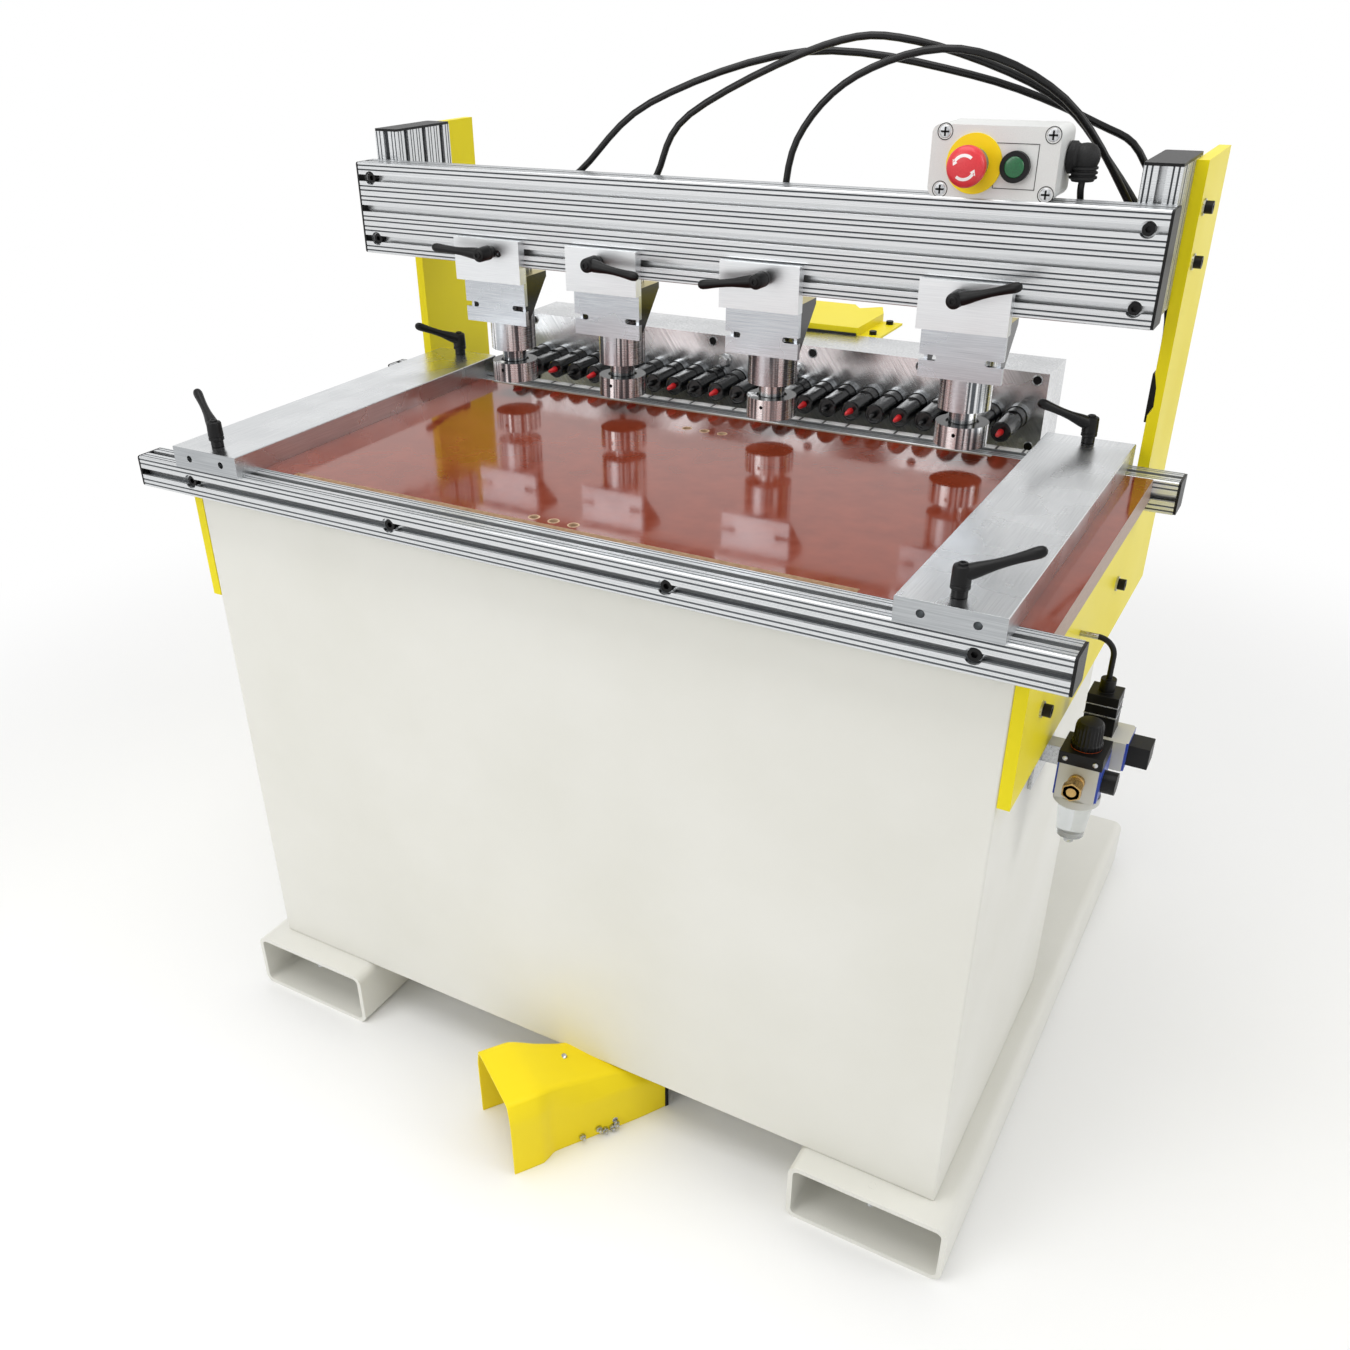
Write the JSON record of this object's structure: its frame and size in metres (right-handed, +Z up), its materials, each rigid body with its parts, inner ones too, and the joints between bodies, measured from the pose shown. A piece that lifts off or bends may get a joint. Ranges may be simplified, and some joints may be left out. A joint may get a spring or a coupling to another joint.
{
  "type": "horizontal boring machine",
  "caption": "Floor machine that bores a row of holes into a panel's edge: a sliding gear-driven spindle head, air clamps on a beam, fences on a table and a foot pedal.",
  "frame": {"origin": "middle of the machine's footprint on the floor, the foot pedal and air unit included, hoses left out", "axes": "+X to the operator's right along the table, +Y away from the operator, +Z up"},
  "size_m": [1.186, 1.0536, 1.2826],
  "materials": {
    "cream_enamel": "gloss",
    "yellow_enamel": "gloss",
    "pedal_yellow": "gloss",
    "anodised_aluminium": "satin",
    "machined_aluminium": "brushed",
    "table_laminate": "gloss laminate",
    "black_plastic": "matte",
    "blackened_steel": "black oxide",
    "grey_box_plastic": "satin",
    "red_plastic": "gloss",
    "green_plastic": "gloss",
    "black_rubber": "matte",
    "ground_steel": "ground",
    "grey_motor_paint": "satin"
  },
  "bodies": {
    "root": {"skids": "cream_enamel", "cabinet": "cream_enamel", "side_plates": "yellow_enamel", "table_beams": "anodised_aluminium", "clamp_frame": "anodised_aluminium", "table_top": "table_laminate", "caps_and_screws": "black_plastic", "control_box": "grey_box_plastic", "air_unit": "machined_aluminium", "air_hoses": "black_rubber", "pedal_guard": "pedal_yellow", "slide_rails": "ground_steel"},
    "head": {"boring_head": "machined_aluminium", "drive_motor": "grey_motor_paint", "head_guard": "yellow_enamel"},
    "spindle_01": {"spindle_01": "blackened_steel"},
    "spindle_02": {"spindle_02": "blackened_steel"},
    "spindle_03": {"spindle_03": "blackened_steel"},
    "spindle_04": {"spindle_04": "blackened_steel"},
    "spindle_05": {"spindle_05": "blackened_steel"},
    "spindle_06": {"spindle_06": "blackened_steel"},
    "spindle_07": {"spindle_07": "blackened_steel"},
    "spindle_08": {"spindle_08": "blackened_steel"},
    "spindle_09": {"spindle_09": "blackened_steel"},
    "spindle_10": {"spindle_10": "blackened_steel"},
    "spindle_11": {"spindle_11": "blackened_steel"},
    "spindle_12": {"spindle_12": "blackened_steel"},
    "spindle_13": {"spindle_13": "blackened_steel"},
    "spindle_14": {"spindle_14": "blackened_steel"},
    "spindle_15": {"spindle_15": "blackened_steel"},
    "spindle_16": {"spindle_16": "blackened_steel"},
    "spindle_17": {"spindle_17": "blackened_steel"},
    "spindle_18": {"spindle_18": "blackened_steel"},
    "spindle_19": {"spindle_19": "blackened_steel"},
    "spindle_20": {"spindle_20": "blackened_steel"},
    "spindle_21": {"spindle_21": "blackened_steel"},
    "spindle_22": {"spindle_22": "blackened_steel"},
    "spindle_23": {"spindle_23": "blackened_steel"},
    "clamp_1": {"clamp_1": "machined_aluminium"},
    "clamp_2": {"clamp_2": "machined_aluminium"},
    "clamp_3": {"clamp_3": "machined_aluminium"},
    "clamp_4": {"clamp_4": "machined_aluminium"},
    "clamp_foot_1": {"clamp_foot_1": "machined_aluminium"},
    "clamp_foot_2": {"clamp_foot_2": "machined_aluminium"},
    "clamp_foot_3": {"clamp_foot_3": "machined_aluminium"},
    "clamp_foot_4": {"clamp_foot_4": "machined_aluminium"},
    "clamp_lever_1": {"clamp_lever_1": "black_plastic"},
    "clamp_lever_2": {"clamp_lever_2": "black_plastic"},
    "clamp_lever_3": {"clamp_lever_3": "black_plastic"},
    "clamp_lever_4": {"clamp_lever_4": "black_plastic"},
    "fence_left": {"fence_left": "machined_aluminium"},
    "fence_right": {"fence_right": "machined_aluminium"},
    "fence_lever_1": {"fence_lever_1": "black_plastic"},
    "fence_lever_2": {"fence_lever_2": "black_plastic"},
    "fence_lever_3": {"fence_lever_3": "black_plastic"},
    "fence_lever_4": {"fence_lever_4": "black_plastic"},
    "estop_button": {"estop_button": "red_plastic"},
    "start_button": {"start_button": "green_plastic"},
    "regulator_knob": {"regulator_knob": "black_plastic"},
    "pedal_treadle": {"pedal_treadle": "black_rubber"}
  },
  "joints": [
    {"name": "head_feed", "type": "slide", "parent": "root", "child": "head", "axis": [0, -1, 0], "range_m": [0, 0.022]},
    {"name": "spindle_12_turn", "type": "hinge", "parent": "head", "child": "spindle_12", "pos_m": [-0.025, 0.18884, 0.8598], "axis": [0, 1, 0], "continuous": true},
    {"name": "spindle_01_turn", "type": "hinge", "parent": "head", "child": "spindle_01", "pos_m": [-0.377, 0.18884, 0.8598], "axis": [0, 1, 0], "continuous": true},
    {"name": "spindle_02_turn", "type": "hinge", "parent": "head", "child": "spindle_02", "pos_m": [-0.345, 0.18884, 0.8598], "axis": [0, 1, 0], "continuous": true},
    {"name": "spindle_03_turn", "type": "hinge", "parent": "head", "child": "spindle_03", "pos_m": [-0.313, 0.18884, 0.8598], "axis": [0, 1, 0], "continuous": true},
    {"name": "spindle_04_turn", "type": "hinge", "parent": "head", "child": "spindle_04", "pos_m": [-0.281, 0.18884, 0.8598], "axis": [0, 1, 0], "continuous": true},
    {"name": "spindle_05_turn", "type": "hinge", "parent": "head", "child": "spindle_05", "pos_m": [-0.249, 0.18884, 0.8598], "axis": [0, 1, 0], "continuous": true},
    {"name": "spindle_06_turn", "type": "hinge", "parent": "head", "child": "spindle_06", "pos_m": [-0.217, 0.18884, 0.8598], "axis": [0, 1, 0], "continuous": true},
    {"name": "spindle_07_turn", "type": "hinge", "parent": "head", "child": "spindle_07", "pos_m": [-0.185, 0.18884, 0.8598], "axis": [0, 1, 0], "continuous": true},
    {"name": "spindle_08_turn", "type": "hinge", "parent": "head", "child": "spindle_08", "pos_m": [-0.153, 0.18884, 0.8598], "axis": [0, 1, 0], "continuous": true},
    {"name": "spindle_09_turn", "type": "hinge", "parent": "head", "child": "spindle_09", "pos_m": [-0.121, 0.18884, 0.8598], "axis": [0, 1, 0], "continuous": true},
    {"name": "spindle_10_turn", "type": "hinge", "parent": "head", "child": "spindle_10", "pos_m": [-0.089, 0.18884, 0.8598], "axis": [0, 1, 0], "continuous": true},
    {"name": "spindle_11_turn", "type": "hinge", "parent": "head", "child": "spindle_11", "pos_m": [-0.057, 0.18884, 0.8598], "axis": [0, 1, 0], "continuous": true},
    {"name": "spindle_13_turn", "type": "hinge", "parent": "head", "child": "spindle_13", "pos_m": [0.007, 0.18884, 0.8598], "axis": [0, 1, 0], "continuous": true},
    {"name": "spindle_14_turn", "type": "hinge", "parent": "head", "child": "spindle_14", "pos_m": [0.039, 0.18884, 0.8598], "axis": [0, 1, 0], "continuous": true},
    {"name": "spindle_15_turn", "type": "hinge", "parent": "head", "child": "spindle_15", "pos_m": [0.071, 0.18884, 0.8598], "axis": [0, 1, 0], "continuous": true},
    {"name": "spindle_16_turn", "type": "hinge", "parent": "head", "child": "spindle_16", "pos_m": [0.103, 0.18884, 0.8598], "axis": [0, 1, 0], "continuous": true},
    {"name": "spindle_17_turn", "type": "hinge", "parent": "head", "child": "spindle_17", "pos_m": [0.135, 0.18884, 0.8598], "axis": [0, 1, 0], "continuous": true},
    {"name": "spindle_18_turn", "type": "hinge", "parent": "head", "child": "spindle_18", "pos_m": [0.167, 0.18884, 0.8598], "axis": [0, 1, 0], "continuous": true},
    {"name": "spindle_19_turn", "type": "hinge", "parent": "head", "child": "spindle_19", "pos_m": [0.199, 0.18884, 0.8598], "axis": [0, 1, 0], "continuous": true},
    {"name": "spindle_20_turn", "type": "hinge", "parent": "head", "child": "spindle_20", "pos_m": [0.231, 0.18884, 0.8598], "axis": [0, 1, 0], "continuous": true},
    {"name": "spindle_21_turn", "type": "hinge", "parent": "head", "child": "spindle_21", "pos_m": [0.263, 0.18884, 0.8598], "axis": [0, 1, 0], "continuous": true},
    {"name": "spindle_22_turn", "type": "hinge", "parent": "head", "child": "spindle_22", "pos_m": [0.295, 0.18884, 0.8598], "axis": [0, 1, 0], "continuous": true},
    {"name": "spindle_23_turn", "type": "hinge", "parent": "head", "child": "spindle_23", "pos_m": [0.327, 0.18884, 0.8598], "axis": [0, 1, 0], "continuous": true},
    {"name": "clamp_1_slide", "type": "slide", "parent": "root", "child": "clamp_1", "axis": [1, 0, 0], "range_m": [-0.02, 0.02]},
    {"name": "clamp_foot_1_press", "type": "slide", "parent": "clamp_1", "child": "clamp_foot_1", "axis": [0, 0, -1], "range_m": [0, 0.02], "stiffness_N_per_m": 400, "springref_m": -0.03},
    {"name": "clamp_lever_1_turn", "type": "hinge", "parent": "clamp_1", "child": "clamp_lever_1", "pos_m": [-0.32, -0.02087, 1.03845], "axis": [0, 1, 0], "range_deg": [-40, 40]},
    {"name": "clamp_2_slide", "type": "slide", "parent": "root", "child": "clamp_2", "axis": [1, 0, 0], "range_m": [-0.02, 0.02]},
    {"name": "clamp_foot_2_press", "type": "slide", "parent": "clamp_2", "child": "clamp_foot_2", "axis": [0, 0, -1], "range_m": [0, 0.02], "stiffness_N_per_m": 400, "springref_m": -0.03},
    {"name": "clamp_lever_2_turn", "type": "hinge", "parent": "clamp_2", "child": "clamp_lever_2", "pos_m": [-0.159, -0.02087, 1.03845], "axis": [0, 1, 0], "range_deg": [-40, 40]},
    {"name": "clamp_3_slide", "type": "slide", "parent": "root", "child": "clamp_3", "axis": [1, 0, 0], "range_m": [-0.02, 0.02]},
    {"name": "clamp_foot_3_press", "type": "slide", "parent": "clamp_3", "child": "clamp_foot_3", "axis": [0, 0, -1], "range_m": [0, 0.02], "stiffness_N_per_m": 400, "springref_m": -0.03},
    {"name": "clamp_lever_3_turn", "type": "hinge", "parent": "clamp_3", "child": "clamp_lever_3", "pos_m": [0.067, -0.02087, 1.03845], "axis": [0, 1, 0], "range_deg": [-40, 40]},
    {"name": "clamp_4_slide", "type": "slide", "parent": "root", "child": "clamp_4", "axis": [1, 0, 0], "range_m": [-0.02, 0.01]},
    {"name": "clamp_foot_4_press", "type": "slide", "parent": "clamp_4", "child": "clamp_foot_4", "axis": [0, 0, -1], "range_m": [0, 0.02], "stiffness_N_per_m": 400, "springref_m": -0.03},
    {"name": "clamp_lever_4_turn", "type": "hinge", "parent": "clamp_4", "child": "clamp_lever_4", "pos_m": [0.2967, -0.02087, 1.03845], "axis": [0, 1, 0], "range_deg": [-40, 40]},
    {"name": "fence_left_slide", "type": "slide", "parent": "root", "child": "fence_left", "axis": [1, 0, 0], "range_m": [-0.045, 0.02]},
    {"name": "fence_right_slide", "type": "slide", "parent": "root", "child": "fence_right", "axis": [1, 0, 0], "range_m": [-0.015, 0.045]},
    {"name": "fence_lever_1_turn", "type": "hinge", "parent": "fence_left", "child": "fence_lever_1", "pos_m": [-0.4677, -0.39211, 0.8679], "axis": [0, 0, 1], "range_deg": [-40, 40]},
    {"name": "fence_lever_2_turn", "type": "hinge", "parent": "fence_left", "child": "fence_lever_2", "pos_m": [-0.4677, 0.08468, 0.8679], "axis": [0, 0, 1], "range_deg": [-25, 25]},
    {"name": "fence_lever_3_turn", "type": "hinge", "parent": "fence_right", "child": "fence_lever_3", "pos_m": [0.432, -0.39211, 0.8679], "axis": [0, 0, 1], "range_deg": [-40, 40]},
    {"name": "fence_lever_4_turn", "type": "hinge", "parent": "fence_right", "child": "fence_lever_4", "pos_m": [0.432, 0.08468, 0.8679], "axis": [0, 0, 1], "range_deg": [-25, 25]},
    {"name": "estop_press", "type": "slide", "parent": "root", "child": "estop_button", "axis": [0, 1, 0], "range_m": [0, 0.005], "stiffness_N_per_m": 400, "springref_m": -0.004},
    {"name": "start_press", "type": "slide", "parent": "root", "child": "start_button", "axis": [0, 1, 0], "range_m": [0, 0.003], "stiffness_N_per_m": 400, "springref_m": -0.004},
    {"name": "regulator_turn", "type": "hinge", "parent": "root", "child": "regulator_knob", "pos_m": [0.537, -0.22617, 0.642], "axis": [0, 0, 1], "range_deg": [-150, 150]},
    {"name": "treadle_press", "type": "hinge", "parent": "root", "child": "pedal_treadle", "pos_m": [0.01888, -0.36781, 0.016], "axis": [0.829, -0.5592, 0], "range_deg": [0, 8], "stiffness_Nm_per_rad": 3, "springref_deg": -11.46}
  ],
  "couplings": [
    {"joint": "spindle_01_turn", "follows": "spindle_12_turn", "ratio": -1},
    {"joint": "spindle_02_turn", "follows": "spindle_12_turn", "ratio": 1},
    {"joint": "spindle_03_turn", "follows": "spindle_12_turn", "ratio": -1},
    {"joint": "spindle_04_turn", "follows": "spindle_12_turn", "ratio": 1},
    {"joint": "spindle_05_turn", "follows": "spindle_12_turn", "ratio": -1},
    {"joint": "spindle_06_turn", "follows": "spindle_12_turn", "ratio": 1},
    {"joint": "spindle_07_turn", "follows": "spindle_12_turn", "ratio": -1},
    {"joint": "spindle_08_turn", "follows": "spindle_12_turn", "ratio": 1},
    {"joint": "spindle_09_turn", "follows": "spindle_12_turn", "ratio": -1},
    {"joint": "spindle_10_turn", "follows": "spindle_12_turn", "ratio": 1},
    {"joint": "spindle_11_turn", "follows": "spindle_12_turn", "ratio": -1},
    {"joint": "spindle_13_turn", "follows": "spindle_12_turn", "ratio": -1},
    {"joint": "spindle_14_turn", "follows": "spindle_12_turn", "ratio": 1},
    {"joint": "spindle_15_turn", "follows": "spindle_12_turn", "ratio": -1},
    {"joint": "spindle_16_turn", "follows": "spindle_12_turn", "ratio": 1},
    {"joint": "spindle_17_turn", "follows": "spindle_12_turn", "ratio": -1},
    {"joint": "spindle_18_turn", "follows": "spindle_12_turn", "ratio": 1},
    {"joint": "spindle_19_turn", "follows": "spindle_12_turn", "ratio": -1},
    {"joint": "spindle_20_turn", "follows": "spindle_12_turn", "ratio": 1},
    {"joint": "spindle_21_turn", "follows": "spindle_12_turn", "ratio": -1},
    {"joint": "spindle_22_turn", "follows": "spindle_12_turn", "ratio": 1},
    {"joint": "spindle_23_turn", "follows": "spindle_12_turn", "ratio": -1},
    {"joint": "clamp_foot_2_press", "follows": "clamp_foot_1_press", "ratio": 1},
    {"joint": "clamp_foot_3_press", "follows": "clamp_foot_1_press", "ratio": 1},
    {"joint": "clamp_foot_4_press", "follows": "clamp_foot_1_press", "ratio": 1}
  ]
}
